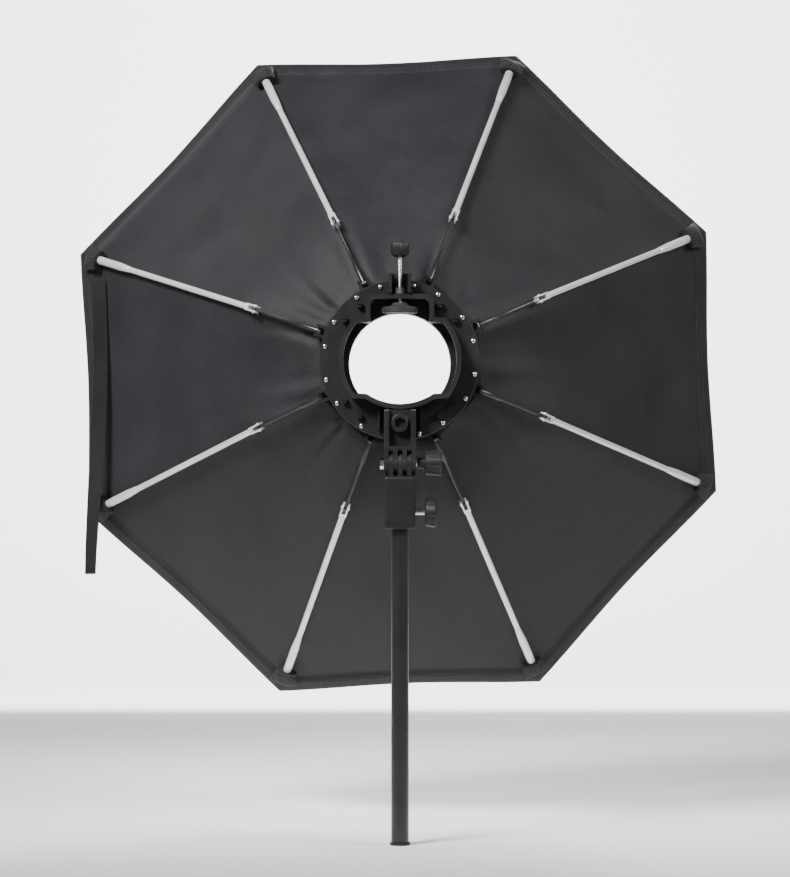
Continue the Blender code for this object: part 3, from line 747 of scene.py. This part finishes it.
def make_clamp_screw():
    """The clamp's bright threaded rod."""
    low, high = [Vector(corner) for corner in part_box("clamp_screw")]
    axis = Vector(((low.x + high.x) / 2, (low.y + high.y) / 2, 0))
    radius = (high.x - low.x) / 2
    pitch = 0.0008
    sides = 20
    bm = bmesh.new()
    rings = []
    rows = int((high.z - low.z) / pitch * 5)
    for i in range(rows + 1):
        z = low.z + (high.z - low.z) * i / rows
        fade = min(1.0, min(i, rows - i) / 4)
        ring = []
        for j in range(sides):
            turn = 2 * math.pi * j / sides
            wave = abs(((z / pitch - j / sides) % 1.0) * 2 - 1)
            r = radius - 0.00045 * wave * fade - 0.0003 * (1 - fade)
            ring.append(Vector((axis.x + r * math.cos(turn), axis.y + r * math.sin(turn), z)))
        rings.append(ring)
    ring_surface(bm, rings)
    screw = piece("clamp_thread", bm, [BRIGHT], "clamp_screw", sharp=80)
    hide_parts("clamp_screw")


def knurled_profile(bm, profile, sides, depth, teeth, place, material=0):
    """A turned shape whose rim carries soft vertical ridges."""
    rings = []
    top = max(radius for radius, _ in profile)
    for radius, height in profile:
        ring = []
        for i in range(sides):
            turn = 2 * math.pi * i / sides
            share = max(0.0, (radius - top * 0.86) / (top * 0.14))
            r = radius - depth * share * (0.5 + 0.5 * math.cos(turn * teeth))
            ring.append(place @ Vector((r * math.cos(turn), r * math.sin(turn), height)))
        rings.append(ring)
    ring_surface(bm, rings, material=material)


def make_clamp_knob():
    """The ridged knob on top of the clamp's screw."""
    low, high = [Vector(corner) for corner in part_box("clamp_knob")]
    radius = (high.x - low.x) / 2
    height = high.z - low.z
    middle = Vector(((low.x + high.x) / 2, (low.y + high.y) / 2, low.z))
    soft = 0.0009
    profile = [
        (0.0030, 0.0),
        (0.0046, 0.0),
        (radius - 0.0022, 0.0014),
        (radius - 0.0007, 0.0024),
        (radius, 0.0034),
        (radius, height - soft * 1.6),
        (radius - soft * 0.4, height - soft * 0.6),
        (radius - soft * 1.3, height),
        (radius * 0.55, height - 0.0002),
        (radius * 0.50, height - 0.0007),
        (0.0005, height - 0.0007),
    ]
    bm = bmesh.new()
    knurled_profile(bm, profile, 120, 0.0005, 24, Matrix.Translation(middle))
    knob = piece("clamp_knob_cap", bm, [KNOB], "clamp_screw", sharp=50)
    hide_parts("clamp_knob")


def dress_cad_nodes():
    """Gives the CAD pieces that show their materials."""
    looks = {
        "stand_tube": BLACK_STEEL,
        "tube_foot_plug": PLASTIC,
        "socket_block": PLASTIC,
        "stand_knob": KNOB,
        "tilt_knob": KNOB,
        "stand_screw": BRIGHT,
        "tilt_bolt": BRIGHT,
        "clamp_nut": BRIGHT,
        "tilt_arm": PLASTIC,
        "arm_screw": PLASTIC,
        "bracket_plate": PLASTIC,
        "clamp_guide": PLASTIC,
        "rib_hinge_ring": PLASTIC,
        "retainer_ring": PLASTIC,
        "clamp_pad": RUBBER,
    }
    for name, material in looks.items():
        data = frame["nodes"][name].data
        data.materials.clear()
        data.materials.append(material)


# ---------------------------------------------------------------- stage, light and camera


def make_stage():
    """A pale floor that curves up into a wall behind the softbox."""
    material, tree, shader = nodes_of("pale_floor")
    shader.inputs["Base Color"].default_value = (0.92, 0.92, 0.92, 1)
    shader.inputs["Roughness"].default_value = 0.8
    shader.inputs["Emission Color"].default_value = (1, 1, 1, 1)
    shader.inputs["Emission Strength"].default_value = 0.10
    bm = bmesh.new()
    profile = [(-6.0, 0.0), (3.0, 0.0)]
    for i in range(1, 13):
        turn = math.pi / 2 * i / 12
        profile.append((3.0 + 1.5 * math.sin(turn), 1.5 - 1.5 * math.cos(turn)))
    profile += [(4.5, 6.0)]
    rows = [[bm.verts.new((x, y, z)) for x in (-9.0, 9.0)] for y, z in profile]
    for a, b in zip(rows, rows[1:]):
        bm.faces.new((a[0], a[1], b[1], b[0]))
    mesh = bpy.data.meshes.new("floor")
    bm.to_mesh(mesh)
    bm.free()
    mesh.materials.append(material)
    mesh.shade_smooth()
    floor = bpy.data.objects.new("floor", mesh)
    bpy.context.scene.collection.objects.link(floor)


def area_light(name, place, aim, size, power, spread=180):
    light = bpy.data.lights.new(name, "AREA")
    light.spread = math.radians(spread)
    light.shape = "RECTANGLE"
    light.size, light.size_y = size
    light.energy = power
    obj = bpy.data.objects.new(name, light)
    obj.location = place
    obj.rotation_euler = (Vector(aim) - Vector(place)).to_track_quat("-Z", "Y").to_euler()
    bpy.context.scene.collection.objects.link(obj)


def make_lights():
    """A key from the upper left behind the camera, a weak fill, and lights on the wall and the lining."""
    world = bpy.data.worlds.new("soft_white")
    world.use_nodes = True
    world.node_tree.nodes["Background"].inputs["Color"].default_value = (1, 1, 1, 1)
    world.node_tree.nodes["Background"].inputs["Strength"].default_value = 0.10
    bpy.context.scene.world = world
    area_light("key", (-1.4, -1.5, 2.1), (-0.2, 0.1, 0.60), (1.1, 0.8), 12, 38)
    area_light("fill", (2.4, -1.2, 1.9), (0.1, 0.1, 0.6), (1.0, 1.0), 5, 38)
    area_light("backdrop", (0, 1.6, 2.6), (0, 4.4, 0.9), (3.6, 0.8), 170, 110)
    area_light("backdrop_low", (0, 1.9, 0.5), (0, 4.4, 0.7), (3.6, 0.5), 90)
    area_light("front", (0.6, 2.4, 1.6), (0, 0.2, 0.45), (1.0, 1.0), 5, 45)


def make_camera():
    """The photo's view: straight at the rear, a little below the ring."""
    camera = bpy.data.cameras.new("camera")
    camera.sensor_fit = "VERTICAL"
    camera.sensor_height = 24
    camera.lens = 90.5
    camera.clip_end = 50
    obj = bpy.data.objects.new("camera", camera)
    distance = 3.0
    obj.location = (-0.017, -distance, RING_Z - 0.1365)
    aim = Vector((-0.0045, 0, RING_Z - 0.072))
    obj.rotation_euler = (aim - obj.location).to_track_quat("-Z", "Y").to_euler()
    bpy.context.scene.collection.objects.link(obj)
    bpy.context.scene.camera = obj


make_camera()
make_stage()
make_lights()
dress_cad_nodes()
make_canopy()
make_collar()
make_pockets()
make_strap()
make_ribs()
make_rivets()
make_boss_screws()
make_clamp_screw()
make_clamp_knob()
